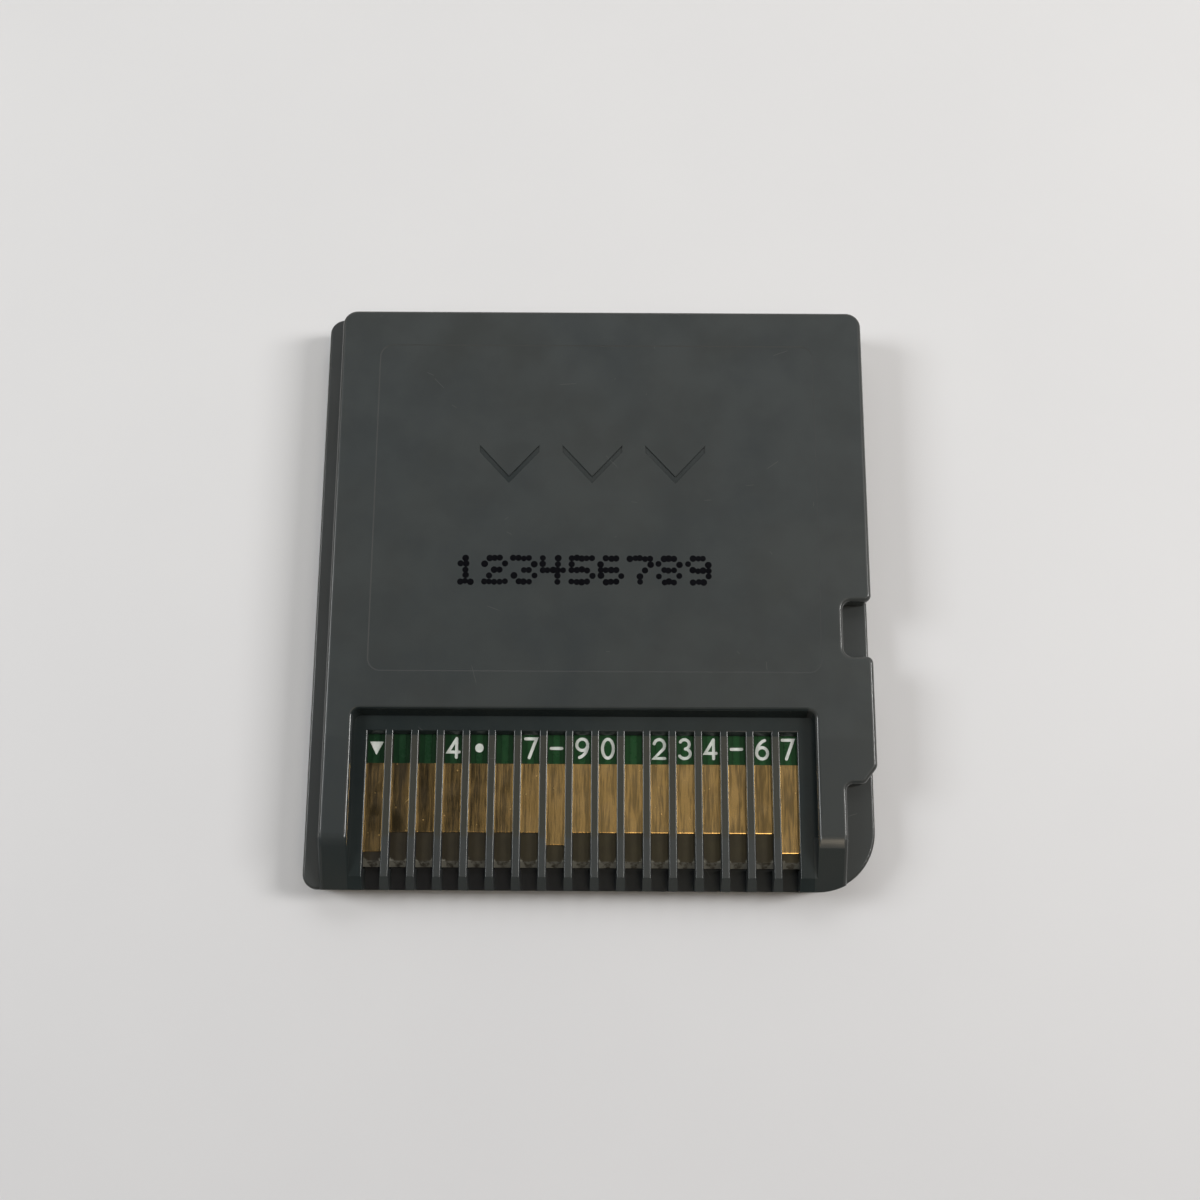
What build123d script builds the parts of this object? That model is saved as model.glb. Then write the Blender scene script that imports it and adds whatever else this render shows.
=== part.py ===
from build123d import *
import os

os.makedirs("parts", exist_ok=True)

# A thin game card for a handheld console, lying on its label side with its contacts up.
# X runs across the card, Y from the contact edge to the far edge, Z up from the label side.
# Millimetres. The origin is the middle of the card's footprint.

# Thicknesses through the card, from the label side to the contact side
floor_thickness = 1.7
board_thickness = 0.8
chip_standoff = 0.05
memory_chip_thickness = 0.55
chip_headroom = 0.1
back_wall = 0.6

# Widths across the contact edge, from the plain side to the keyed side
rail_width = 1.05
plain_block_width = 1.68
plain_ledge_margin = 0.79
contact_count = 17
contact_pitch = 1.5
slot_width = 1.0
key_ledge_margin = 0.98
key_block_width = 1.7
key_depth = 1.8

# Outline of the card
card_length = 35.0
corner_radius = 0.9
key_corner_radius = 3.5
rear_side_height = 1.45
rim_edge_radius = 0.18
label_edge_radius = 0.4
back_edge_radius = 0.27

# Contact recess, measured from the contact edge
recess_length = 10.3
recess_depth = 0.88
recess_slope_run = 0.35
recess_corner_radius = 0.4
recess_edge_radius = 0.2
slot_length = 9.11
slot_slope_run = 0.2
slot_edge_radius = 0.1
ramp_length = 2.8
ramp_nose = 0.23
ramp_crease_radius = 1.8

# Latch notch and key cut-out on the keyed side, measured from the contact edge
notch_start = 13.5
notch_length = 3.25
notch_depth = 1.7
notch_floor_radius = 0.5
notch_mouth_radius = 0.4
key_length = 6.05
key_inner_radius = 0.35
key_chamfer_width = 0.78
key_chamfer_length = 1.0
key_chamfer_radius = 0.5

# Shallow panel on the back, and the moulded chevrons in it that point to the contact edge
panel_left_margin = 3.44
panel_right_margin = 3.0
panel_far_margin = 2.25
panel_contact_margin = 12.45
panel_corner_radius = 0.8
panel_depth = 0.02
panel_slope = 75.0
chevron_count = 3
chevron_width = 3.6
chevron_height = 2.4
chevron_stroke = 0.45
chevron_pitch = 5.0
chevron_depth = 0.08
chevron_tip = 23.9

# Shell walls and the way the two halves go together
side_wall = 1.0
seat_width = 0.6
shelf_width = 0.6
shell_fit = 0.05
recess_wall = 0.8
post_radius = 0.6
post_inset = 2.0
boss_wall = 0.55

# Circuit board and its contacts, measured from the contact edge
board_fit = 0.1
board_setback = 1.3
board_bevel = 0.35
contact_far_end = 7.22
contact_gap = 0.4
contact_thickness = 0.05
rib_clearance = 0.05
short_contact = 3.95
middle_contact = 4.65
long_contact = 5.06
middle_contact_number = 8

# Parts on the board
chip_margin = 2.0
chip_gap = 2.0
chip_edge = 0.08
pin_mark_radius = 0.45
pin_mark_depth = 0.08
pin_mark_inset = 1.1
memory_chip_width = 10.0
memory_chip_length = 12.0
memory_lead_count = 10
memory_lead_pitch = 1.1
save_chip_width = 4.0
save_chip_length = 5.0
save_chip_thickness = 0.5
save_lead_count = 4
save_lead_pitch = 1.27
lead_reach = 1.0
lead_shoulder = 0.35
lead_width = 0.4
lead_thickness = 0.12
capacitor_count = 3
capacitor_spacing = 2.0
capacitor_length = 1.6
capacitor_width = 0.8
capacitor_height = 0.55
resistor_height = 0.45
terminal_length = 0.3
terminal_step = 0.04

# Label
label_side_margin = 2.5
label_far_margin = 2.5
label_contact_margin = 8.5
label_corner_radius = 1.2
label_recess_depth = 0.2
label_thickness = 0.12
label_fit = 0.1

# Heights that follow from the thicknesses
board_top = floor_thickness + board_thickness
contact_top = board_top + contact_thickness
hollow_top = board_top + chip_standoff + memory_chip_thickness + chip_headroom
card_thickness = hollow_top + back_wall
parting_height = card_thickness - rear_side_height
ledge_height = card_thickness - recess_depth
nose_height = parting_height + ramp_nose
rib_bottom = contact_top + rib_clearance

# Places across the card that follow from the widths
slot_row_width = (contact_count - 1) * contact_pitch + slot_width
recess_width = plain_ledge_margin + slot_row_width + key_ledge_margin
card_width = rail_width + plain_block_width + recess_width + key_block_width + key_depth
right_edge = card_width / 2
left_edge = -right_edge
rear_left = left_edge + rail_width
recess_left = rear_left + plain_block_width
recess_right = recess_left + recess_width
key_wall = recess_right + key_block_width
notch_wall = right_edge - notch_depth
first_contact = recess_left + plain_ledge_margin + slot_width / 2
contact_places = [first_contact + step * contact_pitch for step in range(contact_count)]
cavity_left = rear_left + seat_width
cavity_right = right_edge - side_wall
cavity_right_low = key_wall - seat_width

# Places along the card that follow from the lengths
far_edge = card_length / 2
contact_edge = -far_edge
recess_top = contact_edge + recess_length
slot_top = contact_edge + slot_length
ramp_top = contact_edge + ramp_length
notch_low = contact_edge + notch_start
notch_high = notch_low + notch_length
key_top = contact_edge + key_length
cavity_far = far_edge - side_wall
cavity_step = notch_high + seat_width
hollow_low = recess_top + recess_wall
board_front = contact_edge + board_setback
contact_far = contact_edge + contact_far_end
cut_overrun = card_thickness
edge_reach = 0.001

post_places = [
    (cavity_left + post_inset, cavity_far - post_inset),
    (cavity_right - post_inset, cavity_far - post_inset),
]


def card_outline() -> Sketch:
    """Whole card seen from above: three small corners and the large key corner."""
    with BuildSketch() as outline:
        with BuildLine():
            FilletPolyline(
                (left_edge, contact_edge),
                (right_edge, contact_edge),
                (right_edge, far_edge),
                (left_edge, far_edge),
                radius=[corner_radius, key_corner_radius, corner_radius, corner_radius],
                close=True,
            )
        make_face()
    return outline.sketch


def rear_outline() -> Sketch:
    """Rear half seen from above: stepped in on the plain side, notched and cut out on the keyed side."""
    with BuildSketch() as outline:
        with BuildLine():
            FilletPolyline(
                (rear_left, contact_edge),
                (key_wall, contact_edge),
                (key_wall, key_top),
                (right_edge - key_chamfer_width, key_top),
                (right_edge, key_top + key_chamfer_length),
                (right_edge, notch_low),
                (notch_wall, notch_low),
                (notch_wall, notch_high),
                (right_edge, notch_high),
                (right_edge, far_edge),
                (rear_left, far_edge),
                radius=[
                    0,
                    0,
                    key_inner_radius,
                    key_chamfer_radius,
                    key_chamfer_radius,
                    notch_mouth_radius,
                    notch_floor_radius,
                    notch_floor_radius,
                    notch_mouth_radius,
                    corner_radius,
                    corner_radius,
                ],
                close=True,
            )
        make_face()
        add(card_outline(), mode=Mode.INTERSECT)
    return outline.sketch


def cavity_outline(low_end: float, inset: float) -> Sketch:
    """Space inside the front half, drawn in by an inset, from a low end to the far wall."""
    with BuildSketch() as outline:
        with BuildLine():
            Polyline(
                (cavity_left + inset, low_end),
                (cavity_right_low - inset, low_end),
                (cavity_right_low - inset, cavity_step + inset),
                (cavity_right - inset, cavity_step + inset),
                (cavity_right - inset, cavity_far - inset),
                (cavity_left + inset, cavity_far - inset),
                close=True,
            )
        make_face()
    return outline.sketch


def guide_outline(far_end: float) -> Sketch:
    """Strip between the side walls of the front half, from the contact edge to a far end."""
    with BuildSketch() as outline:
        with BuildLine():
            Polyline(
                (cavity_left + shell_fit, contact_edge),
                (cavity_right_low - shell_fit, contact_edge),
                (cavity_right_low - shell_fit, far_end),
                (cavity_left + shell_fit, far_end),
                close=True,
            )
        make_face()
        add(card_outline(), mode=Mode.INTERSECT)
    return outline.sketch


def recess_outline(far_end: float) -> Sketch:
    """Recess over the contacts seen from above, from beyond the contact edge to a far end."""
    with BuildSketch() as outline:
        with BuildLine():
            FilletPolyline(
                (recess_left, contact_edge - cut_overrun),
                (recess_right, contact_edge - cut_overrun),
                (recess_right, far_end),
                (recess_left, far_end),
                radius=[0, 0, recess_corner_radius, recess_corner_radius],
                close=True,
            )
        make_face()
    return outline.sketch


def panel_outline() -> Sketch:
    """Rounded rectangle of the shallow panel on the back."""
    with BuildSketch() as outline:
        with BuildLine():
            FilletPolyline(
                (left_edge + panel_left_margin, contact_edge + panel_contact_margin),
                (right_edge - panel_right_margin, contact_edge + panel_contact_margin),
                (right_edge - panel_right_margin, far_edge - panel_far_margin),
                (left_edge + panel_left_margin, far_edge - panel_far_margin),
                radius=panel_corner_radius,
                close=True,
            )
        make_face()
    return outline.sketch


def chevron_outline() -> Sketch:
    """One chevron with its tip at the origin, pointing to the contact edge."""
    with BuildSketch() as outline:
        with BuildLine():
            Polyline(
                (0, 0),
                (chevron_width / 2, chevron_height - chevron_stroke),
                (chevron_width / 2, chevron_height),
                (0, chevron_stroke),
                (-chevron_width / 2, chevron_height),
                (-chevron_width / 2, chevron_height - chevron_stroke),
                close=True,
            )
        make_face()
    return outline.sketch


def label_outline(inset: float) -> Sketch:
    """Rounded rectangle of the label, drawn in by an inset."""
    with BuildSketch() as outline:
        with BuildLine():
            FilletPolyline(
                (left_edge + label_side_margin + inset, contact_edge + label_contact_margin + inset),
                (right_edge - label_side_margin - inset, contact_edge + label_contact_margin + inset),
                (right_edge - label_side_margin - inset, far_edge - label_far_margin - inset),
                (left_edge + label_side_margin + inset, far_edge - label_far_margin - inset),
                radius=label_corner_radius - inset,
                close=True,
            )
        make_face()
    return outline.sketch


def lead_profile(exit_height: float) -> Sketch:
    """Side view of one lead: out of the package, straight down, and along the board."""
    with BuildSketch() as profile:
        with BuildLine():
            Polyline(
                (0, exit_height + lead_thickness / 2),
                (lead_shoulder + lead_thickness, exit_height + lead_thickness / 2),
                (lead_shoulder + lead_thickness, lead_thickness),
                (lead_reach, lead_thickness),
                (lead_reach, 0),
                (lead_shoulder, 0),
                (lead_shoulder, exit_height - lead_thickness / 2),
                (0, exit_height - lead_thickness / 2),
                close=True,
            )
        make_face()
    return profile.sketch


# Rear half: back plate, contact guide and locating bosses, moulded in one piece
with BuildPart() as rear_shell:
    with BuildSketch(Plane.XY.offset(parting_height)):
        add(rear_outline())
    extrude(amount=card_thickness - parting_height)

    # Pocket over the upper part of the board, and the hollow above the chips with a shelf round it
    with BuildSketch(Plane.XY.offset(parting_height)):
        add(cavity_outline(board_front - board_fit, 0))
    extrude(amount=rib_bottom - parting_height, mode=Mode.SUBTRACT)
    with BuildSketch(Plane.XY.offset(rib_bottom)):
        add(cavity_outline(hollow_low, shelf_width))
    extrude(amount=hollow_top - rib_bottom, mode=Mode.SUBTRACT)

    # Feet of the contact guide, which enter the front half beyond the board's edge
    with BuildSketch(Plane.XY.offset(floor_thickness)):
        add(guide_outline(board_front - board_fit))
    extrude(amount=parting_height - floor_thickness)

    # Recess over the contacts, open at the contact edge, its far wall sloping
    with BuildSketch(Plane.XY.offset(ledge_height)):
        add(recess_outline(recess_top - recess_slope_run))
    with BuildSketch(Plane.XY.offset(card_thickness)):
        add(recess_outline(recess_top))
    loft(ruled=True, mode=Mode.SUBTRACT)
    recess_rim = [
        edge
        for edge in rear_shell.edges(Select.LAST).filter_by_position(
            Axis.Z, card_thickness - back_edge_radius, card_thickness + back_edge_radius
        )
        if edge.center().Y > contact_edge + back_edge_radius
    ]
    fillet(recess_rim, radius=recess_edge_radius)

    # One slot over each contact, its far end sloping, so that a rib stands between neighbours
    with BuildSketch(*[Plane.YZ.offset(x) for x in contact_places]):
        with BuildLine():
            Polyline(
                (contact_edge - cut_overrun, floor_thickness),
                (slot_top - slot_slope_run, floor_thickness),
                (slot_top - slot_slope_run, rib_bottom),
                (slot_top, ledge_height),
                (contact_edge - cut_overrun, ledge_height),
                close=True,
            )
        make_face()
    extrude(amount=slot_width / 2, both=True, mode=Mode.SUBTRACT)
    slot_rims = [
        edge
        for edge in rear_shell.edges(Select.LAST).filter_by_position(
            Axis.Z, ledge_height - slot_edge_radius, ledge_height + slot_edge_radius
        )
        if edge.center().Y > contact_edge + slot_edge_radius
    ]
    fillet(slot_rims, radius=slot_edge_radius)

    # Lead-in ramp down to the contact edge
    with BuildSketch(Plane.YZ):
        with BuildLine():
            FilletPolyline(
                (contact_edge, 0),
                (far_edge, 0),
                (far_edge, card_thickness),
                (ramp_top, card_thickness),
                (contact_edge, nose_height),
                radius=[0, 0, 0, ramp_crease_radius, 0],
                close=True,
            )
        make_face()
    extrude(amount=card_width, both=True, mode=Mode.INTERSECT)

    # Rounded edge round the back, which runs on down the sides of the ramp
    back_outline = rear_outline().moved(Location((0, 0, card_thickness))).wire()
    back_rim = [edge for edge in rear_shell.edges() if back_outline.distance_to(edge @ 0.5) < edge_reach]
    fillet(back_rim, radius=back_edge_radius)

    # Shallow panel with sloping sides, and the chevrons sunk into it
    with BuildSketch(Plane.XY.offset(card_thickness)):
        add(panel_outline())
    extrude(amount=-panel_depth, taper=panel_slope, mode=Mode.SUBTRACT)
    with BuildSketch(Plane.XY.offset(card_thickness - panel_depth)):
        with Locations(Location((0, contact_edge + chevron_tip))):
            with GridLocations(chevron_pitch, 0, chevron_count, 1):
                add(chevron_outline())
    extrude(amount=-chevron_depth, mode=Mode.SUBTRACT)

    # Bosses that take the posts of the front half and hold the board down
    with BuildSketch(Plane.XY.offset(board_top)):
        with Locations(*post_places):
            Circle(post_radius + shell_fit + boss_wall)
            Circle(post_radius + shell_fit, mode=Mode.SUBTRACT)
    extrude(amount=hollow_top - board_top)
rear_shell.part.label = "rear_shell"
export_step(rear_shell.part, "parts/rear_shell.step")

# Front half: label floor and side walls, moulded in one piece
with BuildPart() as front_shell:
    with BuildSketch():
        add(card_outline())
    extrude(amount=parting_height)
    fillet(front_shell.faces().sort_by(Axis.Z)[0].edges(), radius=label_edge_radius)
    fillet(front_shell.faces().sort_by(Axis.Z)[-1].edges(), radius=rim_edge_radius)

    # Space for the board, open at the contact edge
    with BuildSketch(Plane.XY.offset(floor_thickness)):
        add(cavity_outline(contact_edge - cut_overrun, 0))
    extrude(amount=parting_height - floor_thickness, mode=Mode.SUBTRACT)

    # Shallow recess for the label
    with BuildSketch():
        add(label_outline(0))
    extrude(amount=label_recess_depth, mode=Mode.SUBTRACT)

    # Posts that go through the board into the rear half
    with BuildSketch(Plane.XY.offset(floor_thickness)):
        with Locations(*post_places):
            Circle(post_radius)
    extrude(amount=hollow_top - chip_headroom - floor_thickness)
front_shell.part.label = "front_shell"
export_step(front_shell.part, "parts/front_shell.step")

# Label: thin sticker lying in its recess
with BuildPart() as label:
    with BuildSketch(Plane.XY.offset(label_recess_depth - label_thickness)):
        add(label_outline(label_fit))
    extrude(amount=label_thickness)
label.part.label = "label"
export_step(label.part, "parts/label.step")

# Circuit board, held on the posts, with a bevel along the contact edge
with BuildPart() as circuit_board:
    with BuildSketch(Plane.XY.offset(floor_thickness)):
        add(cavity_outline(board_front, board_fit))
        with Locations(*post_places):
            Circle(post_radius + board_fit, mode=Mode.SUBTRACT)
    extrude(amount=board_thickness)
    front_face = circuit_board.faces().sort_by(Axis.Y)[0]
    chamfer(front_face.edges().sort_by(Axis.Z)[-1], length=board_bevel)
circuit_board.part.label = "circuit_board"
export_step(circuit_board.part, "parts/circuit_board.step")

# Contacts: gold strips on the board, the outer two longest and one of middle length
contact_lengths = [short_contact] * contact_count
contact_lengths[0] = long_contact
contact_lengths[-1] = long_contact
contact_lengths[middle_contact_number - 1] = middle_contact
for number, (x, length) in enumerate(zip(contact_places, contact_lengths), start=1):
    with BuildPart() as contact:
        with BuildSketch(Plane.XY.offset(board_top)):
            with Locations((x, contact_far)):
                Rectangle(contact_pitch - contact_gap, length, align=(Align.CENTER, Align.MAX))
        extrude(amount=contact_thickness)
    contact.part.label = f"contact_{number:02d}"
    export_step(contact.part, f"parts/contact_{number:02d}.step")

# Places of the chips, set from the hollow that they stand in
memory_chip_x = cavity_left + shelf_width + chip_margin + lead_reach + memory_chip_width / 2
memory_chip_y = hollow_low + chip_margin + memory_chip_length / 2
save_chip_x = memory_chip_x + memory_chip_width / 2 + chip_gap + 2 * lead_reach + save_chip_width / 2
save_chip_y = hollow_low + chip_margin + save_chip_length / 2

# Program memory: moulded package with a pin mark
with BuildPart() as memory_chip:
    with BuildSketch(Plane.XY.offset(board_top + chip_standoff)):
        with Locations((memory_chip_x, memory_chip_y)):
            Rectangle(memory_chip_width, memory_chip_length)
    extrude(amount=memory_chip_thickness)
    chamfer(memory_chip.faces().sort_by(Axis.Z)[-1].edges(), length=chip_edge)
    with BuildSketch(Plane.XY.offset(board_top + chip_standoff + memory_chip_thickness)):
        with Locations(
            (
                memory_chip_x - memory_chip_width / 2 + pin_mark_inset,
                memory_chip_y + memory_chip_length / 2 - pin_mark_inset,
            )
        ):
            Circle(pin_mark_radius)
    extrude(amount=-pin_mark_depth, mode=Mode.SUBTRACT)
memory_chip.part.label = "memory_chip"
export_step(memory_chip.part, "parts/memory_chip.step")

# Save memory: the same kind of package, smaller
with BuildPart() as save_chip:
    with BuildSketch(Plane.XY.offset(board_top + chip_standoff)):
        with Locations((save_chip_x, save_chip_y)):
            Rectangle(save_chip_width, save_chip_length)
    extrude(amount=save_chip_thickness)
    chamfer(save_chip.faces().sort_by(Axis.Z)[-1].edges(), length=chip_edge)
    with BuildSketch(Plane.XY.offset(board_top + chip_standoff + save_chip_thickness)):
        with Locations(
            (
                save_chip_x - save_chip_width / 2 + pin_mark_inset,
                save_chip_y + save_chip_length / 2 - pin_mark_inset,
            )
        ):
            Circle(pin_mark_radius)
    extrude(amount=-pin_mark_depth, mode=Mode.SUBTRACT)
save_chip.part.label = "save_chip"
export_step(save_chip.part, "parts/save_chip.step")

# Lead frames: two rows of bent leads beside each package, soldered flat on the board
chip_rows = [
    (
        "memory_chip_leads",
        (memory_chip_x, memory_chip_y),
        memory_chip_width,
        memory_chip_thickness,
        memory_lead_count,
        memory_lead_pitch,
    ),
    (
        "save_chip_leads",
        (save_chip_x, save_chip_y),
        save_chip_width,
        save_chip_thickness,
        save_lead_count,
        save_lead_pitch,
    ),
]
for name, (chip_x, chip_y), chip_width, chip_thickness, lead_count, lead_pitch in chip_rows:
    with BuildPart() as leads:
        for side in (-1, 1):
            for step in range(lead_count):
                lead_y = chip_y + (step - (lead_count - 1) / 2) * lead_pitch
                lead_plane = Plane(
                    origin=(chip_x + side * chip_width / 2, lead_y, board_top),
                    x_dir=(side, 0, 0),
                    z_dir=(0, -side, 0),
                )
                with BuildSketch(lead_plane):
                    add(lead_profile(chip_standoff + chip_thickness / 2))
                extrude(amount=lead_width / 2, both=True)
    leads.part.label = name
    export_step(leads.part, f"parts/{name}.step")

# Capacitors in a row beside the save memory, and a resistor above it
small_part_x = save_chip_x + save_chip_width / 2 + lead_reach + chip_gap
small_parts = [
    (
        f"capacitor_{step + 1}",
        (small_part_x, save_chip_y + (step - (capacitor_count - 1) / 2) * capacitor_spacing),
        capacitor_height,
    )
    for step in range(capacitor_count)
]
small_parts.append(
    ("resistor_1", (save_chip_x, save_chip_y + save_chip_length / 2 + chip_gap), resistor_height)
)
for name, place, height in small_parts:
    with BuildPart() as small_part:
        with BuildSketch(Plane.XY.offset(board_top)):
            with Locations(place):
                Rectangle(capacitor_length, capacitor_width)
        extrude(amount=height)
        with BuildSketch(Plane.XY.offset(board_top)):
            with Locations(place):
                with GridLocations(capacitor_length - terminal_length, 0, 2, 1):
                    Rectangle(terminal_length, capacitor_width + 2 * terminal_step)
        extrude(amount=height + terminal_step)
    small_part.part.label = name
    export_step(small_part.part, f"parts/{name}.step")
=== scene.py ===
import math

import bpy
import numpy as np
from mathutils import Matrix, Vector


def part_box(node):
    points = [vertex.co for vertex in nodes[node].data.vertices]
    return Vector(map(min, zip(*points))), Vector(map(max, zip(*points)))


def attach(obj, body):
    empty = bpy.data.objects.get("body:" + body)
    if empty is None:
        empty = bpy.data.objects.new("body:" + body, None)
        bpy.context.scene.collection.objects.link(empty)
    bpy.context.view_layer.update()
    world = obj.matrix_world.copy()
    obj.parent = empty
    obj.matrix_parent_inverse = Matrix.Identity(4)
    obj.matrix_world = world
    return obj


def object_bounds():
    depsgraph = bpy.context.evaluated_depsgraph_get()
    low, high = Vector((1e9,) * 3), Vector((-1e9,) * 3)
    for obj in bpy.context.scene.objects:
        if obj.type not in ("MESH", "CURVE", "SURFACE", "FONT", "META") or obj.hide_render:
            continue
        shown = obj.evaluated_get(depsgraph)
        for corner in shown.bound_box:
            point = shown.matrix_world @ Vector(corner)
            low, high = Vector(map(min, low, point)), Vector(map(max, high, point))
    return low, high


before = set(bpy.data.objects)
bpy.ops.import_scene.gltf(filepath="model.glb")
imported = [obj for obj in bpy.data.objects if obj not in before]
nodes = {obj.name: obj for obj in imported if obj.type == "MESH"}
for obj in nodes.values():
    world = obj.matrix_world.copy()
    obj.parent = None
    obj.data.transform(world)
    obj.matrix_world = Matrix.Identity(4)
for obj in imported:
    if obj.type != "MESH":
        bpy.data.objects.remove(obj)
cad_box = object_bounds()

# Shell halves: two injection mouldings in dark grey ABS, pressed together on two posts.
# The outer back has a fine spark-eroded texture, and the recess and the sunk marks are smoother.
# Handling has left dust, hairline scratches and slightly polished edges. The rounded edges and rib noses are
# painted paler, partly as wear and partly as painted highlight, the rail and the panel's rim carry painted
# light, and the slot floors carry painted shade.
MM = 0.001
PER_MM = 1000.0
NOISE_SPAN = (0.3, 0.7)


def shader_node(tree, kind, sockets=None, **settings):
    """One shader node: settings are its own properties,
    sockets its inputs as values or as outputs to link."""
    made = tree.nodes.new(kind)
    for name, value in settings.items():
        setattr(made, name, value)
    for name, value in (sockets or {}).items():
        if isinstance(value, bpy.types.NodeSocket):
            tree.links.new(value, made.inputs[name])
        else:
            made.inputs[name].default_value = value
    return made


def arithmetic(tree, operation, first, second=0.0, third=0.0):
    """Result of one math node."""
    return shader_node(
        tree, "ShaderNodeMath", {0: first, 1: second, 2: third}, operation=operation
    ).outputs[0]


def product(tree, first, *others):
    """Product of values, with one math node for each further value."""
    for other in others:
        first = arithmetic(tree, "MULTIPLY", first, other)
    return first


def largest(tree, first, *others):
    """Largest of values, with one math node for each further value."""
    for other in others:
        first = arithmetic(tree, "MAXIMUM", first, other)
    return first


def opposite(tree, mask):
    """One less a mask."""
    return arithmetic(tree, "SUBTRACT", 1.0, mask)


def distance_from(tree, value, middle):
    """How far a value lies from a middle, on either side."""
    return arithmetic(tree, "ABSOLUTE", arithmetic(tree, "SUBTRACT", value, middle))


def fade(tree, value, low, high, to_low=0.0, to_high=1.0):
    """Smooth step of a value: to_low below low, to_high above high."""
    return shader_node(
        tree,
        "ShaderNodeMapRange",
        {"Value": value, "From Min": low, "From Max": high, "To Min": to_low, "To Max": to_high},
        interpolation_type="SMOOTHSTEP",
    ).outputs["Result"]


def above(tree, value, edge, blur):
    """Mask of the values above an edge, softened by a blur on either side."""
    return fade(tree, value, edge - blur, edge + blur)


def below(tree, value, edge, blur):
    """Mask of the values below an edge, softened by a blur on either side."""
    return fade(tree, value, edge - blur, edge + blur, 1.0, 0.0)


def blend_colour(tree, share, first, second):
    """Mix of two colours by a share."""
    mix = shader_node(tree, "ShaderNodeMix", {0: share, 6: first, 7: second}, data_type="RGBA")
    return mix.outputs[2]


def shader_group(name, inputs, outputs):
    """Empty node group with named sockets: its tree, its input sockets and its output node."""
    tree = bpy.data.node_groups.new(name, "ShaderNodeTree")
    for label, kind, start in inputs:
        socket = tree.interface.new_socket(label, in_out="INPUT", socket_type=kind)
        if start is not None:
            socket.default_value = start
    for label, kind in outputs:
        tree.interface.new_socket(label, in_out="OUTPUT", socket_type=kind)
    return tree, tree.nodes.new("NodeGroupInput").outputs, tree.nodes.new("NodeGroupOutput")


def use_group(tree, group, sockets):
    """A node group placed in a material, with its own values."""
    return shader_node(tree, "ShaderNodeGroup", sockets, node_tree=group).outputs


def make_grain_group():
    """Moulded grain: fine noise as a height, and broad cloudy noise as a tone."""
    tree, given, result = shader_group(
        "moulded_grain",
        [
            ("Vector", "NodeSocketVector", None),
            ("Grain per mm", "NodeSocketFloat", 12.0),
            ("Clouds per mm", "NodeSocketFloat", 0.2),
        ],
        [("Height", "NodeSocketFloat"), ("Tone", "NodeSocketFloat")],
    )
    fine = shader_node(
        tree, "ShaderNodeTexNoise",
        {"Vector": given["Vector"], "Scale": given["Grain per mm"], "Detail": 3.0, "Roughness": 0.6},
    )
    clouds = shader_node(
        tree, "ShaderNodeTexNoise",
        {"Vector": given["Vector"], "Scale": given["Clouds per mm"], "Detail": 5.0, "Roughness": 0.55},
    )
    tree.links.new(fine.outputs[0], result.inputs["Height"])
    tree.links.new(fade(tree, clouds.outputs[0], *NOISE_SPAN), result.inputs["Tone"])
    return tree


def make_dust_group():
    """Dust: one small round speck in each cell of a random cell pattern,
    kept only in a share of the cells."""
    least_size, solid_core = 0.35, 0.4
    tree, given, result = shader_group(
        "dust_specks",
        [
            ("Vector", "NodeSocketVector", None),
            ("Cells per mm", "NodeSocketFloat", 0.8),
            ("Share", "NodeSocketFloat", 0.3),
            ("Radius", "NodeSocketFloat", 0.05),
        ],
        [("Mask", "NodeSocketFloat")],
    )
    cells = shader_node(
        tree, "ShaderNodeTexVoronoi",
        {"Vector": given["Vector"], "Scale": given["Cells per mm"], "Randomness": 1.0},
        voronoi_dimensions="3D",
    )
    draw = shader_node(tree, "ShaderNodeSeparateColor", {0: cells.outputs["Color"]})
    kept = arithmetic(tree, "LESS_THAN", draw.outputs[0], given["Share"])
    reach = product(tree, given["Radius"], arithmetic(tree, "ADD", draw.outputs[1], least_size))
    core = product(tree, reach, solid_core)
    inside = fade(tree, cells.outputs["Distance"], core, reach, 1.0, 0.0)
    tree.links.new(product(tree, inside, kept), result.inputs["Mask"])
    return tree


def make_hairline_group():
    """Hairlines: in each cell one short straight line through the cell's point,
    turned by the cell's own draw."""
    solid_length, solid_width = 0.5, 0.3
    tree, given, result = shader_group(
        "hairlines",
        [
            ("Vector", "NodeSocketVector", None),
            ("Share", "NodeSocketFloat", 0.4),
            ("Length", "NodeSocketFloat", 0.6),
            ("Width", "NodeSocketFloat", 0.02),
        ],
        [("Mask", "NodeSocketFloat")],
    )
    cells = shader_node(
        tree, "ShaderNodeTexVoronoi",
        {"Vector": given["Vector"], "Scale": 1.0, "Randomness": 1.0}, voronoi_dimensions="2D",
    )
    draw = shader_node(tree, "ShaderNodeSeparateColor", {0: cells.outputs["Color"]})
    offset = shader_node(
        tree, "ShaderNodeVectorMath",
        {0: given["Vector"], 1: cells.outputs["Position"]}, operation="SUBTRACT",
    )
    turned = shader_node(
        tree, "ShaderNodeVectorRotate",
        {"Vector": offset.outputs[0], "Angle": product(tree, draw.outputs[0], 2 * math.pi)},
        rotation_type="Z_AXIS",
    )
    place = shader_node(tree, "ShaderNodeSeparateXYZ", {0: turned.outputs[0]})
    along = arithmetic(tree, "ABSOLUTE", place.outputs[0])
    across = arithmetic(tree, "ABSOLUTE", place.outputs[1])
    reach = product(tree, given["Length"], draw.outputs[1])
    in_length = fade(tree, along, product(tree, reach, solid_length), reach, 1.0, 0.0)
    solid = product(tree, given["Width"], solid_width)
    in_width = fade(tree, across, solid, given["Width"], 1.0, 0.0)
    kept = arithmetic(tree, "LESS_THAN", draw.outputs[2], given["Share"])
    tree.links.new(product(tree, in_length, in_width, kept), result.inputs["Mask"])
    return tree


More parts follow.
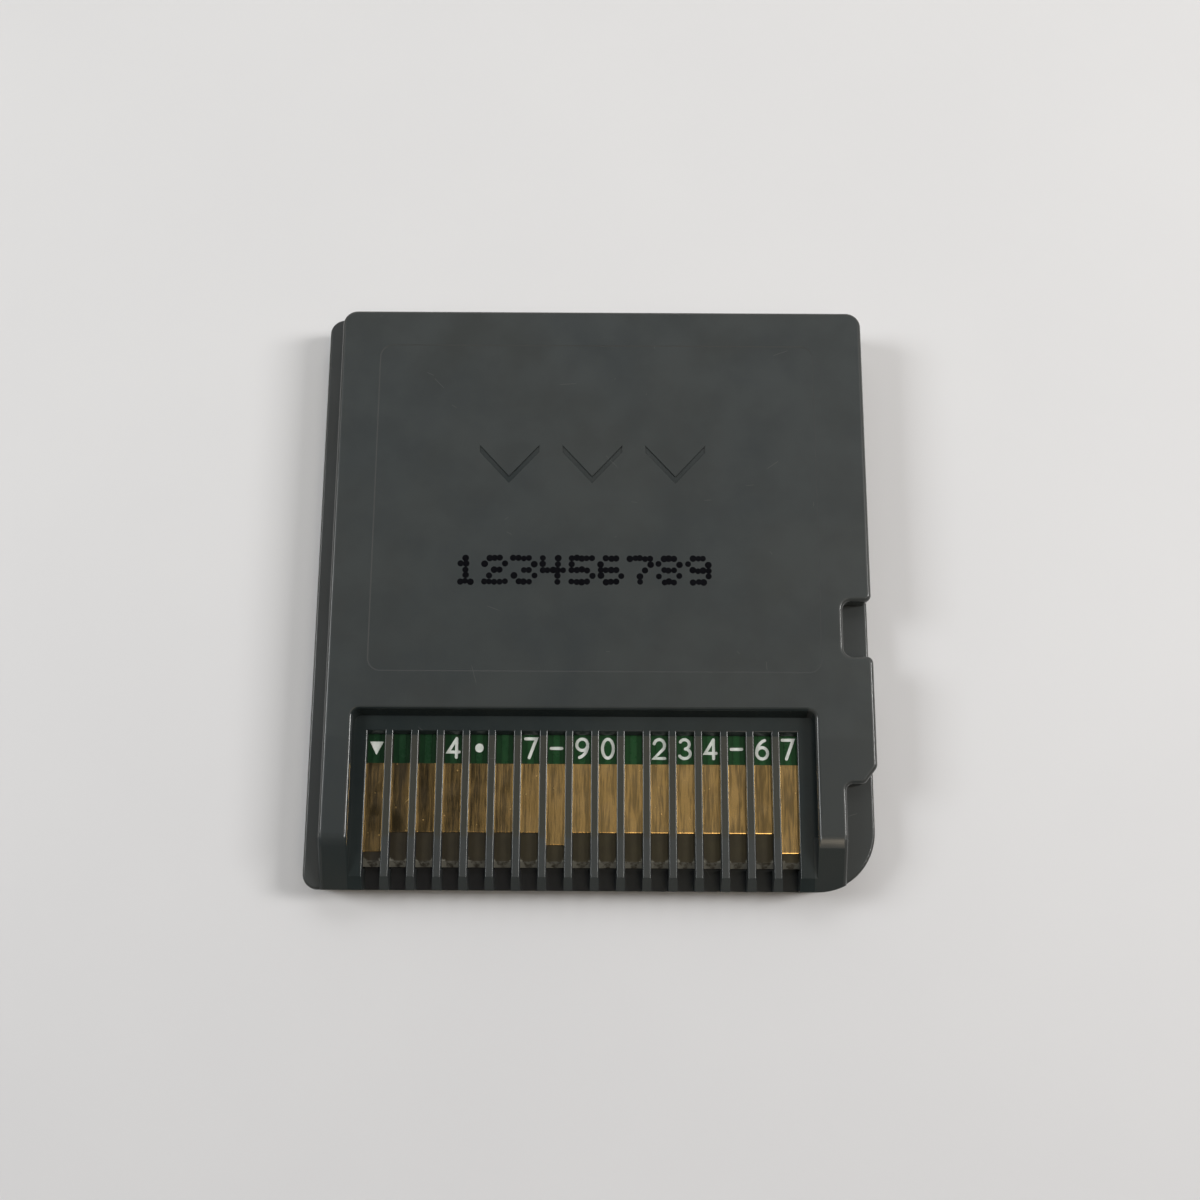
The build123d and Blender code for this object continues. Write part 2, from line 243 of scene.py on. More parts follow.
def make_edge_group():
    """Rounded edges: where the surface leans between level and upright,
    but doesn't lie along the lead-in ramp.
    The crease is the band that leans towards the contact edge by less than the ramp does,
    and the rim is the gentle slope round the sunk panel."""
    ramp_facing = (0.0, -0.3994, 0.9168)
    upright, level, along_ramp = (0.15, 0.40), (0.945, 0.962), (0.985, 0.997)
    crease_steep, crease_gentle = (-0.39, -0.34), (-0.10, -0.03)
    rim_steep, rim_gentle = (0.958, 0.964), (0.968, 0.974)
    tree, given, result = shader_group(
        "rounded_edges",
        [("Normal", "NodeSocketVector", None)],
        [("Mask", "NodeSocketFloat"), ("Crease", "NodeSocketFloat"), ("Rim", "NodeSocketFloat")],
    )
    lean = shader_node(tree, "ShaderNodeSeparateXYZ", {0: given["Normal"]}).outputs
    on_ramp = shader_node(
        tree, "ShaderNodeVectorMath", {0: given["Normal"], 1: ramp_facing}, operation="DOT_PRODUCT"
    ).outputs["Value"]
    rounded = product(
        tree,
        fade(tree, lean["Z"], *level, 1.0, 0.0),
        fade(tree, lean["Z"], *upright),
        fade(tree, on_ramp, *along_ramp, 1.0, 0.0),
    )
    crease = product(
        tree,
        fade(tree, lean["Y"], *crease_gentle, 1.0, 0.0),
        fade(tree, lean["Y"], *crease_steep),
    )
    rim = product(
        tree,
        fade(tree, lean["Z"], *rim_steep),
        fade(tree, lean["Z"], *rim_gentle, 1.0, 0.0),
    )
    tree.links.new(rounded, result.inputs["Mask"])
    tree.links.new(crease, result.inputs["Crease"])
    tree.links.new(rim, result.inputs["Rim"])
    return tree


grain_group = make_grain_group()
dust_group = make_dust_group()
hairline_group = make_hairline_group()
edge_group = make_edge_group()


def blank_material(name):
    """New material: its tree, its Principled shader, and its Object coordinates in millimetres."""
    material = bpy.data.materials.new(name)
    material.use_nodes = True
    tree = material.node_tree
    place = shader_node(tree, "ShaderNodeTexCoord")
    in_mm = shader_node(
        tree, "ShaderNodeMapping", {"Vector": place.outputs["Object"], "Scale": (PER_MM, PER_MM, PER_MM)}
    )
    return material, tree, tree.nodes["Principled BSDF"], in_mm.outputs[0]


def roughen(tree, shader, height, strength, distance):
    """Bump on the shader's normal from a height, its full distance in metres."""
    bump = shader_node(
        tree, "ShaderNodeBump", {"Height": height, "Strength": strength, "Distance": distance}
    )
    tree.links.new(bump.outputs[0], shader.inputs["Normal"])


def dress(names, material):
    """Gives nodes of the frame one material."""
    for name in names:
        data = nodes[name].data
        data.materials.clear()
        data.materials.append(material)


def make_shell_plastic(name, smooth_below):
    """Dark grey plastic: matte, but smooth on rounded edges and below a height,
    with dust, smears and hairlines.
    The ramp and the ribs stay matte, the pins have left a warm stain on the ribs, the rib noses are
    painted paler as rubbing and painted light, the slots' floors carry painted shade, darkest on the
    left, the ramp's right-hand crease is polished, the rail is painted paler as painted light, the
    panel's rim is painted paler as a painted highlight, and the outer edges are painted paler as
    chafing and painted highlight."""
    cool_grey = (0.0130, 0.0190, 0.0202, 1.0)
    warm_grey = (0.0162, 0.0204, 0.0190, 1.0)
    smeared_grey = (0.0280, 0.0346, 0.0340, 1.0)
    stained_grey = (0.0238, 0.0228, 0.0120, 1.0)
    slot_floor_painted_shade_grey = (0.0042, 0.0048, 0.0085, 1.0)
    edge_wear_and_highlight_grey = (0.062, 0.064, 0.061, 1.0)
    rubbed_and_lit_grey = (0.0330, 0.0352, 0.0345, 1.0)
    scratch_grey = (0.11, 0.11, 0.105, 1.0)
    dust_grey = (0.30, 0.30, 0.28, 1.0)
    smooth_gloss, matte_gloss = 0.22, 0.52
    grease_gloss, cloud_gloss = -0.06, 0.05
    bump_strength, bump_depth = 0.25, 0.006 * MM
    slot_row_middle, slot_row_half, slot_end, rib_foot = -0.48, 12.5, -8.62, 1.9
    block_start, ramp_top, rail_end = 13.35, -14.5, -15.45
    inner_left, inner_right, inner_far = -14.4, 12.6, 15.8
    sharp, soft, softer, softest = 0.02, 0.1, 0.2, 0.5
    level_from, level_full = 0.6, 0.9
    polish_from, polish_full = 0.0, 1.0
    smear_share, smear_beside_row, stain_share = 0.6, 0.05, 0.7
    rail_painted_light, rim_painted_highlight, nose_wear_and_light = 0.5, 0.7, 0.35
    edge_highlight_share, scratch_share = 0.7, 0.5
    shade_left, shade_right, most_shade, least_shade = -6.0, 10.0, 0.8, 0.2
    material, tree, shader, in_mm = blank_material(name)
    normal = shader_node(tree, "ShaderNodeTexCoord").outputs["Normal"]
    facing_up = shader_node(tree, "ShaderNodeSeparateXYZ", {0: normal}).outputs["Z"]
    level = fade(tree, facing_up, level_from, level_full)
    place = shader_node(tree, "ShaderNodeSeparateXYZ", {0: in_mm}).outputs
    grain = use_group(tree, grain_group, {"Vector": in_mm, "Grain per mm": 14.0, "Clouds per mm": 0.16})
    smudge = use_group(tree, grain_group, {"Vector": in_mm, "Grain per mm": 5.0, "Clouds per mm": 0.28})
    dust = use_group(
        tree, dust_group, {"Vector": in_mm, "Cells per mm": 0.45, "Share": 0.28, "Radius": 0.05}
    )
    lines = use_group(
        tree, hairline_group, {"Vector": in_mm, "Share": 0.03, "Length": 0.9, "Width": 0.016}
    )
    edges = use_group(tree, edge_group, {"Normal": normal})

    across = distance_from(tree, place["X"], slot_row_middle)
    in_row = product(
        tree,
        below(tree, across, slot_row_half, sharp),
        fade(tree, place["Y"], slot_end - soft, slot_end, 1.0, 0.0),
    )
    above_foot = above(tree, place["Z"], rib_foot, sharp)
    on_ribs = product(tree, in_row, above_foot)
    on_floor = product(tree, in_row, level, opposite(tree, above_foot))
    near_edge = below(tree, place["Y"], ramp_top, softer)
    past_row = above(tree, across, block_start, soft)
    on_blocks = product(tree, past_row, near_edge)
    beside_row = product(tree, past_row, fade(tree, place["Y"], slot_end - softest, slot_end, 1.0, 0.0))
    on_rail = below(tree, place["X"], rail_end, sharp)
    on_rim = product(tree, edges["Rim"], opposite(tree, near_edge))
    on_nose = product(tree, on_ribs, near_edge)
    inner_field = product(
        tree,
        above(tree, place["X"], inner_left, soft),
        below(tree, place["X"], inner_right, soft),
        below(tree, place["Y"], inner_far, soft),
    )
    crease = product(tree, edges["Crease"], near_edge)
    polished = largest(
        tree,
        product(tree, edges["Mask"], opposite(tree, crease)),
        product(tree, crease, fade(tree, place["X"], polish_from, polish_full)),
    )

    tone = blend_colour(tree, grain["Tone"], cool_grey, warm_grey)
    handled = fade(tree, beside_row, 0.0, 1.0, smear_share, smear_beside_row)
    smeared = blend_colour(tree, product(tree, smudge["Tone"], handled), tone, smeared_grey)
    stain = product(tree, on_ribs, fade(tree, near_edge, 0.0, 1.0, stain_share, 0.0))
    stained = blend_colour(tree, stain, smeared, stained_grey)
    # Painted shade: the slots' floors are blended towards a near-black grey, most on the left, in place of
    # the shade the ribs and walls cast.
    painted_shade_share = fade(tree, place["X"], shade_left, shade_right, most_shade, least_shade)
    shade_painted = blend_colour(tree, product(tree, on_floor, painted_shade_share), stained, slot_floor_painted_shade_grey)
    # Painted light: the rail is painted paler in place of lamp light, the panel's rim slope is painted paler
    # as a painted highlight, and the rib noses are painted paler as rubbing and painted light.
    lightened = largest(
        tree,
        product(tree, on_rail, rail_painted_light),
        product(tree, on_rim, rim_painted_highlight),
        product(tree, on_nose, nose_wear_and_light),
    )
    rubbed = blend_colour(tree, lightened, shade_painted, rubbed_and_lit_grey)
    # Painted highlight: rounded edges outside the inner field are painted paler, partly as chafing and partly
    # as painted highlight.
    edge_wear_and_highlight = product(tree, polished, fade(tree, inner_field, 0.0, 1.0, edge_highlight_share, 0.0))
    edges_painted = blend_colour(tree, edge_wear_and_highlight, rubbed, edge_wear_and_highlight_grey)
    scratch = product(tree, lines["Mask"], level, scratch_share)
    scratched = blend_colour(tree, scratch, edges_painted, scratch_grey)
    dusty = blend_colour(tree, dust["Mask"], scratched, dust_grey)
    tree.links.new(dusty, shader.inputs["Base Color"])

    lower = below(tree, place["Z"], smooth_below, sharp)
    off_ribs = opposite(tree, largest(tree, on_ribs, on_blocks))
    smooth = largest(tree, polished, product(tree, lower, off_ribs))
    texture = fade(tree, smooth, 0.0, 1.0, matte_gloss, smooth_gloss)
    greasy = arithmetic(tree, "MULTIPLY_ADD", smudge["Tone"], grease_gloss, texture)
    clouded = arithmetic(tree, "MULTIPLY_ADD", grain["Tone"], cloud_gloss, greasy)
    tree.links.new(clouded, shader.inputs["Roughness"])
    roughen(tree, shader, grain["Height"], bump_strength, bump_depth)
    return material


RECESS_TEXTURE_LINE = 3.74
NOWHERE_SMOOTH = -1.0
dress(["front_shell"], make_shell_plastic("front_plastic", NOWHERE_SMOOTH))
dress(["rear_shell"], make_shell_plastic("rear_plastic", RECESS_TEXTURE_LINE))

# Label: a coated paper sticker pressed into the shallow recess on the card's underside.
# A pale border runs round a plain printed field with a band of colour across it.


def make_label_paper():
    """Coated paper: a pale border, a grey-blue field and one warm band, all by place on the sheet."""
    low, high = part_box("label")
    border, edge = 1.2, 0.03
    band_low, band_high = 8.0, 11.0
    paper = (0.72, 0.72, 0.70, 1.0)
    field = (0.16, 0.22, 0.30, 1.0)
    band = (0.55, 0.33, 0.10, 1.0)
    wear_share = 0.05
    least_gloss, most_gloss = 0.26, 0.36
    bump_strength, bump_depth = 0.2, 0.004 * MM
    middle_x = (low.x + high.x) / 2 * PER_MM
    middle_y = (low.y + high.y) / 2 * PER_MM
    half_x = (high.x - low.x) / 2 * PER_MM - border
    half_y = (high.y - low.y) / 2 * PER_MM - border
    material, tree, shader, in_mm = blank_material("label_paper")
    place = shader_node(tree, "ShaderNodeSeparateXYZ", {0: in_mm}).outputs
    in_field = product(
        tree,
        below(tree, distance_from(tree, place["X"], middle_x), half_x, edge),
        below(tree, distance_from(tree, place["Y"], middle_y), half_y, edge),
    )
    in_band = product(
        tree, above(tree, place["Y"], band_low, edge), below(tree, place["Y"], band_high, edge)
    )
    fibres = use_group(tree, grain_group, {"Vector": in_mm, "Grain per mm": 6.0, "Clouds per mm": 0.1})
    printed = blend_colour(tree, in_band, field, band)
    sheet = blend_colour(tree, in_field, paper, printed)
    lightened = blend_colour(tree, product(tree, fibres["Tone"], wear_share), sheet, paper)
    gloss = fade(tree, fibres["Tone"], 0.0, 1.0, least_gloss, most_gloss)
    tree.links.new(lightened, shader.inputs["Base Color"])
    tree.links.new(gloss, shader.inputs["Roughness"])
    roughen(tree, shader, fibres["Height"], bump_strength, bump_depth)
    return material


dress(["label"], make_label_paper())

# Circuit board: glass-fibre laminate with green solder resist over its tracks.
# The resist stops at the contacts, and beyond them the bare brown laminate runs to a bevelled edge.
RESIST_SHINE = 0.25
board_low, board_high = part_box("circuit_board")
contact_names = sorted(name for name in nodes if name.startswith("contact_"))
contact_boxes = [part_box(name) for name in contact_names]
contact_middles = [(low.x + high.x) / 2 for low, high in contact_boxes]
contact_far = max(high.y for low, high in contact_boxes)


def resist_colour(tree, in_mm, cloudy, lift):
    """Green resist: cloudy, painted paler towards the keyed side as painted light and darker away
    from it as painted shade, times a lift over copper.
    """
    # Painted light and shade: the pale green is painted towards the keyed side as light and the dark green
    # away from it as shade, mixed with cloudy tone.
    dark_and_shaded_green = np.array((0.0057, 0.0245, 0.0100))
    thin = np.array((0.0110, 0.0510, 0.0155))
    lit_from, lit_to, lit_share, cloud_share = -13.0, 3.0, 0.85, 0.3
    across = shader_node(tree, "ShaderNodeSeparateXYZ", {0: in_mm}).outputs["X"]
    resist_light_share = fade(tree, across, lit_from, lit_to, 0.0, lit_share)
    share = arithmetic(tree, "MULTIPLY_ADD", cloudy, cloud_share, resist_light_share)
    return blend_colour(tree, share, (*(lift * dark_and_shaded_green), 1.0), (*(lift * thin), 1.0))


def make_board_laminate():
    """Board: green resist beyond the contacts' far ends, brown laminate nearer the edge, darker
    towards the plain side as painted shade, and pale fibres on the bevel, which fray upwards between
    the contacts and are partly a painted highlight of the bevel."""
    laminate = (0.0350, 0.0285, 0.0125, 1.0)
    dark_and_shaded_laminate = (0.0175, 0.0132, 0.0072, 1.0)
    fibre_and_highlight = (0.25, 0.245, 0.21, 1.0)
    laminate_light_from, laminate_light_to, laminate_light_most, cloud_share = -13.0, 0.0, 0.6, 0.4
    fray_slope, fray_reach, fray_unevenness = 0.9, 0.1, 0.12
    fray_from, fray_full, fray_share = 0.38, 0.55, 0.7
    fibre_low, fibre_high, least_fibre, most_fibre = 0.35, 0.6, 0.1, 0.5
    laminate_gloss, resist_gloss = 0.55, 0.28
    bump_strength, bump_depth = 0.3, 0.01 * MM
    resist_overlap, bevel, bevel_blur = 0.02, 0.35, 0.03
    half_bays_to_spare = 100
    bay_half = (contact_boxes[1][0].x - contact_boxes[0][0].x) / 2 * PER_MM
    bay_start = half_bays_to_spare * bay_half - contact_middles[0] * PER_MM
    resist_edge = contact_far * PER_MM + resist_overlap
    bevel_top = board_low.y * PER_MM + bevel
    material, tree, shader, in_mm = blank_material("board_laminate")
    shader.inputs["Specular IOR Level"].default_value = RESIST_SHINE
    place = shader_node(tree, "ShaderNodeSeparateXYZ", {0: in_mm}).outputs
    cloth = use_group(tree, grain_group, {"Vector": in_mm, "Grain per mm": 5.0, "Clouds per mm": 1.4})
    green = resist_colour(tree, in_mm, cloth["Tone"], lift=1.0)
    # Painted shade: the laminate darkens towards the plain side, mixed with cloudy tone.
    laminate_light_share = fade(tree, place["X"], laminate_light_from, laminate_light_to, 0.0, laminate_light_most)
    cloud_and_light = arithmetic(tree, "MULTIPLY_ADD", cloth["Tone"], cloud_share, laminate_light_share)
    brown = blend_colour(tree, cloud_and_light, dark_and_shaded_laminate, laminate)
    covered = above(tree, place["Y"], resist_edge, resist_overlap)
    bevelled = below(tree, place["Y"], bevel_top, bevel_blur)
    bay = arithmetic(tree, "PINGPONG", arithmetic(tree, "ADD", place["X"], bay_start), bay_half)
    uneven = fade(tree, cloth["Height"], *NOISE_SPAN, -fray_unevenness, fray_unevenness)
    corner = arithmetic(tree, "ADD", uneven, bay)
    climbing = arithmetic(
        tree, "MULTIPLY_ADD", place["Y"], -fray_slope, fray_slope * (bevel_top + fray_reach)
    )
    frayed = fade(tree, arithmetic(tree, "ADD", corner, climbing), fray_from, fray_full)
    # Partly painted highlight: the pale bevel and bay corners are exposed fibres and also a painted highlight
    # of the bevel.
    fibre_and_highlight_share = largest(
        tree,
        product(tree, bevelled, fade(tree, cloth["Height"], fibre_low, fibre_high, least_fibre, most_fibre)),
        product(tree, frayed, fray_share),
    )
    faced = blend_colour(tree, covered, blend_colour(tree, fibre_and_highlight_share, brown, fibre_and_highlight), green)
    gloss = fade(tree, covered, 0.0, 1.0, laminate_gloss, resist_gloss)
    tree.links.new(faced, shader.inputs["Base Color"])
    tree.links.new(gloss, shader.inputs["Roughness"])
    roughen(tree, shader, cloth["Height"], bump_strength, bump_depth)
    return material


dress(["circuit_board"], make_board_laminate())

# Tracks: one copper line under the resist from each contact towards the chips.
# They stand proud of the board by their own thickness and take the resist's colour.
TRACK_WIDTH = 0.42 * MM
TRACK_RISE = 0.025 * MM
TRACK_END = -6.4 * MM


def make_track_resist():
    """Green resist over copper: a little lighter than over bare laminate."""
    copper_lift = 1.1
    least_gloss, most_gloss = 0.24, 0.34
    bump_strength, bump_depth = 0.2, 0.006 * MM
    material, tree, shader, in_mm = blank_material("track_resist")
    shader.inputs["Specular IOR Level"].default_value = RESIST_SHINE
    cloth = use_group(tree, grain_group, {"Vector": in_mm, "Grain per mm": 5.0, "Clouds per mm": 1.1})
    gloss = fade(tree, cloth["Tone"], 0.0, 1.0, least_gloss, most_gloss)
    tree.links.new(resist_colour(tree, in_mm, cloth["Tone"], copper_lift), shader.inputs["Base Color"])
    tree.links.new(gloss, shader.inputs["Roughness"])
    roughen(tree, shader, cloth["Height"], bump_strength, bump_depth)
    return material


def add_mesh(name, points, face_blocks, material):
    """New piece riding on the card, from an array of points in metres
    and one array of faces for each number of corners."""
    mesh = bpy.data.meshes.new(name)
    faces = [face for block in face_blocks for face in block.tolist()]
    mesh.from_pydata(points.reshape(-1, 3).tolist(), [], faces)
    mesh.update()
    mesh.materials.append(material)
    made = bpy.data.objects.new(name, mesh)
    bpy.context.scene.collection.objects.link(made)
    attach(made, "root")
    return made


def ribbon(path, half_widths, bottom, thickness):
    """Flat bar along a path: at each point the normal in the plane times the half width gives the
    two sides, the corners mitred by the cosine of half the turn, and the top stands one thickness
    above the bottom."""
    least_mitre = 0.5
    path = np.asarray(path, float)
    steps = np.diff(path, axis=0)
    steps /= np.linalg.norm(steps, axis=1)[:, None]
    before = np.vstack([steps[:1], steps])
    after = np.vstack([steps, steps[-1:]])
    tangent = before + after
    tangent /= np.linalg.norm(tangent, axis=1)[:, None]
    mitre = np.maximum((tangent * before).sum(1), least_mitre)
    sideways = np.stack([-tangent[:, 1], tangent[:, 0]], 1)
    normal = sideways * (np.asarray(half_widths) / mitre)[:, None]
    left, right = path + normal, path - normal
    low, high = np.full((len(path), 1), bottom), np.full((len(path), 1), bottom + thickness)
    corners = ((left, low), (right, low), (right, high), (left, high))
    rings = np.stack([np.hstack(corner) for corner in corners], 1)
    start = 4 * np.arange(len(path) - 1)[:, None]
    corner = np.arange(4)[None, :]
    following = (corner + 1) % 4
    sides = np.stack([start + corner, start + following, start + 4 + following, start + 4 + corner], -1)
    caps = np.array([[3, 2, 1, 0], 4 * (len(path) - 1) + np.array([0, 1, 2, 3])])
    return rings.reshape(-1, 3), np.vstack([sides.reshape(-1, 4)[:, ::-1], caps[:, ::-1]])


def gather(shapes):
    """Several shapes of points and faces as one: each shape's faces count on from the points before it."""
    starts = np.cumsum([0] + [len(own_points) for own_points, _ in shapes])
    points = np.vstack([own_points for own_points, _ in shapes])
    faces = np.vstack([own_faces + start for start, (_, own_faces) in zip(starts, shapes)])
    return points, [faces]


track_lines = [
    ribbon([(middle, contact_far), (middle, TRACK_END)], [TRACK_WIDTH / 2] * 2, board_high.z, TRACK_RISE)
    for middle in contact_middles
]
add_mesh("board_tracks", *gather(track_lines), make_track_resist())

# Board legend: white ink screened over the resist, one mark in most contact bays.
# A triangle marks the first contact, and the rest are plain contact numbers, a dot and dashes.


def arc(centre, radii, start, end, count=18):
    """Points on an ellipse from one angle to another, in degrees."""
    angle = np.radians(np.linspace(start, end, count))
    return np.stack([centre[0] + radii[0] * np.cos(angle), centre[1] + radii[1] * np.sin(angle)], 1)


LEGEND_HEIGHT = 1.10 * MM
LEGEND_WIDTH = 0.64 * MM
LEGEND_STROKE = 0.088 * MM
LEGEND_FOOT = -9.92 * MM
INK_FILM = 0.012 * MM
INK_SPAN = (0.2, 0.8)
LEGEND_RISE = TRACK_RISE + INK_FILM
LEGEND_STEP = 0.003 * MM
LEGEND_BED = board_high.z
LEGEND_MARKS = {
    1: "triangle", 4: "4", 5: "dot", 7: "7", 8: "dash", 9: "9", 10: "0",
    12: "2", 13: "3", 14: "4", 15: "dash", 16: "6", 17: "7",
}
NUMERAL_STROKES = {
    "0": [arc((0.5, 0.5), (0.5, 0.5), 90, 270), arc((0.5, 0.5), (0.5, 0.5), 270, 450)],
    "2": [np.vstack([arc((0.5, 0.69), (0.48, 0.31), 165, -40), [(0.02, 0.0), (1.0, 0.0)]])],
    "3": [arc((0.46, 0.75), (0.44, 0.25), 150, -80), arc((0.46, 0.26), (0.52, 0.26), 80, -150)],
    "4": [np.array([(0.76, 1.0), (0.0, 0.28), (1.0, 0.28)]), np.array([(0.76, 0.0), (0.76, 1.0)])],
    "6": [
        np.vstack([arc((1.02, 0.30), (1.02, 0.70), 105, 180)[:-1], arc((0.5, 0.30), (0.5, 0.30), 180, 360)]),
        arc((0.5, 0.30), (0.5, 0.30), 0, 180),
    ],
    "7": [np.array([(0.0, 1.0), (1.0, 1.0), (0.36, 0.0)])],
    "9": [
        np.vstack([arc((-0.02, 0.70), (1.02, 0.70), 285, 360)[:-1], arc((0.5, 0.70), (0.5, 0.30), 0, 180)]),
        arc((0.5, 0.70), (0.5, 0.30), 180, 360),
    ],
}


def make_legend_ink():
    """White screen ink, a little thin and uneven at its edges."""
    full_white = (0.66, 0.68, 0.65, 1.0)
    thin_white = (0.52, 0.57, 0.52, 1.0)
    least_gloss, most_gloss = 0.5, 0.7
    material, tree, shader, in_mm = blank_material("legend_ink")
    wash = use_group(tree, grain_group, {"Vector": in_mm, "Grain per mm": 9.0, "Clouds per mm": 2.5})
    gloss = fade(tree, wash["Height"], *INK_SPAN, least_gloss, most_gloss)
    tree.links.new(blend_colour(tree, wash["Tone"], thin_white, full_white), shader.inputs["Base Color"])
    tree.links.new(gloss, shader.inputs["Roughness"])
    return material


def rounded_ends(path, half_width, steps=4):
    """Adds half-round ends to a path: points go on by the sine of an angle,
    half widths follow its cosine."""
    last_angle = 80.0
    path = np.asarray(path, float)
    angle = np.radians(np.linspace(last_angle, 0.0, steps, endpoint=False))[:, None]
    first = path[0] - path[1]
    last = path[-1] - path[-2]
    first_cap = path[0] + first / np.linalg.norm(first) * half_width * np.sin(angle)
    last_cap = path[-1] + last / np.linalg.norm(last) * half_width * np.sin(angle[::-1])
    shares = np.concatenate([np.cos(angle[:, 0]), np.ones(len(path)), np.cos(angle[::-1, 0])])
    return np.vstack([first_cap, path, last_cap]), half_width * shares


def legend_shapes(mark, middle):
    """Strokes of one mark, set with its middle at a place across the board,
    each a little higher than the last."""
    foot = np.array([middle - LEGEND_WIDTH / 2, LEGEND_FOOT])
    size = np.array([LEGEND_WIDTH, LEGEND_HEIGHT])
    halfway = LEGEND_FOOT + LEGEND_HEIGHT / 2
    if mark == "triangle":
        base, tip = halfway + 0.34 * MM, halfway - 0.42 * MM
        half_base, half_tip = 0.40 * MM, 0.01 * MM
        return [ribbon([(middle, base), (middle, tip)], [half_base, half_tip], LEGEND_BED, LEGEND_RISE)]
    if mark == "dash":
        half_length = 0.31 * MM
        path = [(middle - half_length, halfway), (middle + half_length, halfway)]
        return [ribbon(*rounded_ends(path, LEGEND_STROKE), LEGEND_BED, LEGEND_RISE)]
    if mark == "dot":
        half_length, radius, cap_steps = 0.01 * MM, 0.25 * MM, 8
        path = [(middle, halfway - half_length), (middle, halfway + half_length)]
        return [ribbon(*rounded_ends(path, radius, cap_steps), LEGEND_BED, LEGEND_RISE)]
    strokes = [rounded_ends(foot + stroke * size, LEGEND_STROKE) for stroke in NUMERAL_STROKES[mark]]
    return [
        ribbon(*stroke, LEGEND_BED, LEGEND_RISE + layer * LEGEND_STEP)
        for layer, stroke in enumerate(strokes)
    ]


legend = []
for number, mark in LEGEND_MARKS.items():
    legend += legend_shapes(mark, contact_middles[number - 1])
add_mesh("board_legend", *gather(legend), make_legend_ink())

# Contacts: copper lands plated with nickel and thin gold, wiped by the console's spring pins.
# The wiping runs along each land and leaves bright streaks, dull bands and a few pits.


def make_contact_gold(name, near_end):
    """Worn gold: soft bands and fine streaks along the land, cloudy tarnish under a thin greasy film,
    flecks that the pins have left, and an end that the pins have rolled over."""
    bright_gold = (1.0, 0.635, 0.225, 1.0)
    dull_gold = (0.52, 0.34, 0.130, 1.0)
    pit_brown = (0.20, 0.13, 0.06, 1.0)
    film_gloss = 0.5
    least_film, most_film = 0.1, 0.35
    clean_metal, tarnished_metal = 0.998, 0.985
    band_share, fine_share, rub_share = 0.6, 0.4, 0.6
    wipe_from, wipe_full = 0.68, 0.90
    pit_from, pit_full = 0.64, 0.74
    pit_cloud_from, pit_cloud_full = 0.3, 0.8
    band_gloss, plain_gloss = 0.10, 0.17
    tarnish_gloss, fleck_gloss, score_gloss = 0.04, 0.15, 0.08
    rub_groove, fine_groove, fleck_groove = 0.5, 0.4, 0.3
    bump_strength, bump_depth = 0.45, 0.012 * MM
    end_roll, end_drop = 0.055, 1.87
    material, tree, shader, in_mm = blank_material(name)
    shader.inputs["Coat Roughness"].default_value = film_gloss

    def streaks(across, along, detail):
        """Noise drawn out along the land, by its scales across and along in each millimetre."""
        stretched = shader_node(tree, "ShaderNodeMapping", {"Vector": in_mm, "Scale": (across, along, 1.0)})
        return shader_node(
            tree, "ShaderNodeTexNoise",
            {"Vector": stretched.outputs[0], "Scale": 1.0, "Detail": detail, "Roughness": 0.6},
        ).outputs[0]

    bands = streaks(across=3.2, along=0.35, detail=2.0)
    fine = streaks(across=14.0, along=0.7, detail=4.0)
    rubbed = streaks(across=6.5, along=0.45, detail=5.0)
    tarnish = use_group(tree, grain_group, {"Vector": in_mm, "Grain per mm": 9.0, "Clouds per mm": 0.9})
    flecks = use_group(
        tree, dust_group, {"Vector": in_mm, "Cells per mm": 3.2, "Share": 0.3, "Radius": 0.16}
    )
    scores = use_group(
        tree, hairline_group, {"Vector": in_mm, "Share": 0.25, "Length": 0.6, "Width": 0.018}
    )
    streaky = arithmetic(tree, "MULTIPLY_ADD", fine, fine_share, product(tree, bands, band_share))
    rubbing = arithmetic(tree, "MULTIPLY_ADD", rubbed, rub_share, streaky)
    tone = blend_colour(tree, fade(tree, rubbing, wipe_from, wipe_full), dull_gold, bright_gold)
    pitted = product(
        tree,
        fade(tree, tarnish["Height"], pit_from, pit_full),
        fade(tree, tarnish["Tone"], pit_cloud_from, pit_cloud_full),
    )
    metal = fade(tree, tarnish["Tone"], 0.0, 1.0, clean_metal, tarnished_metal)
    film = fade(tree, tarnish["Tone"], 0.0, 1.0, least_film, most_film)
    tree.links.new(blend_colour(tree, pitted, tone, pit_brown), shader.inputs["Base Color"])
    tree.links.new(metal, shader.inputs["Metallic"])
    tree.links.new(film, shader.inputs["Coat Weight"])

    gloss = fade(tree, bands, *NOISE_SPAN, band_gloss, plain_gloss)
    clouded = arithmetic(tree, "MULTIPLY_ADD", tarnish["Tone"], tarnish_gloss, gloss)
    flecked = arithmetic(tree, "MULTIPLY_ADD", flecks["Mask"], fleck_gloss, clouded)
    scored = arithmetic(tree, "MULTIPLY_ADD", scores["Mask"], score_gloss, flecked)
    tree.links.new(scored, shader.inputs["Roughness"])

    grooves = arithmetic(tree, "MULTIPLY_ADD", rubbed, rub_groove, product(tree, fine, fine_groove))
    relief = arithmetic(tree, "MULTIPLY_ADD", flecks["Mask"], fleck_groove, grooves)
    along = shader_node(tree, "ShaderNodeSeparateXYZ", {0: in_mm}).outputs["Y"]
    rolled = fade(tree, along, near_end, near_end + end_roll, 0.0, end_drop)
    roughen(tree, shader, arithmetic(tree, "ADD", relief, rolled), bump_strength, bump_depth)
    return material


contact_ends = {name: round(low.y * PER_MM, 3) for name, (low, high) in zip(contact_names, contact_boxes)}
for near_end in sorted(set(contact_ends.values())):
    alike = [name for name in contact_names if contact_ends[name] == near_end]
    dress(alike, make_contact_gold(f"gold_of_{alike[0]}", near_end))

